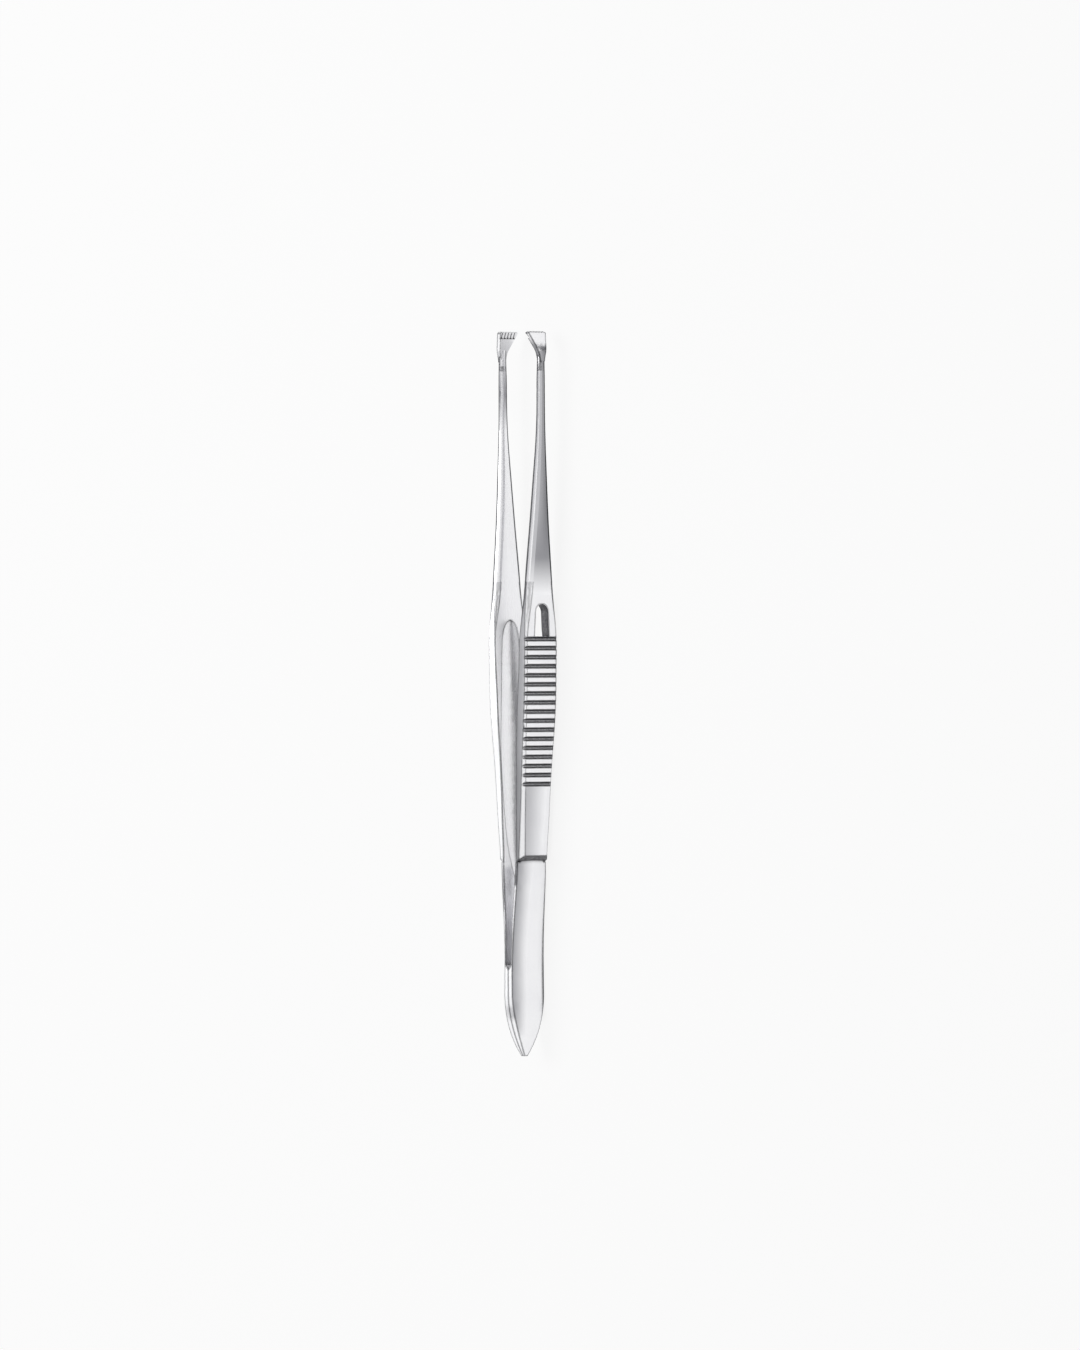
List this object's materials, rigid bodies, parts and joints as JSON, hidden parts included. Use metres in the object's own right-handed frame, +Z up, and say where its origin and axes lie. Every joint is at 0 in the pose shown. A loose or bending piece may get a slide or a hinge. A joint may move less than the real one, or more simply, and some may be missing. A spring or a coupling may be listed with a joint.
{
  "type": "fixation forceps",
  "caption": "Small fixation forceps: two forged spring limbs welded at a leaf-shaped butt, grooved finger grips, round tapering shafts and flared toothed jaws.",
  "frame": {"origin": "centre of the bounding box, on the surface that the instrument lies on with its narrow sides", "axes": "+Y runs along the instrument towards the jaws, X is the direction in which the limbs open, Z is up, across the width of the limbs"},
  "size_m": [0.0092, 0.11, 0.0068],
  "materials": {
    "polished_steel": "finely polished martensitic stainless steel, slightly satin on the broad faces"
  },
  "bodies": {
    "root": {"right_limb": "polished_steel", "left_limb": "polished_steel"}
  },
  "joints": []
}
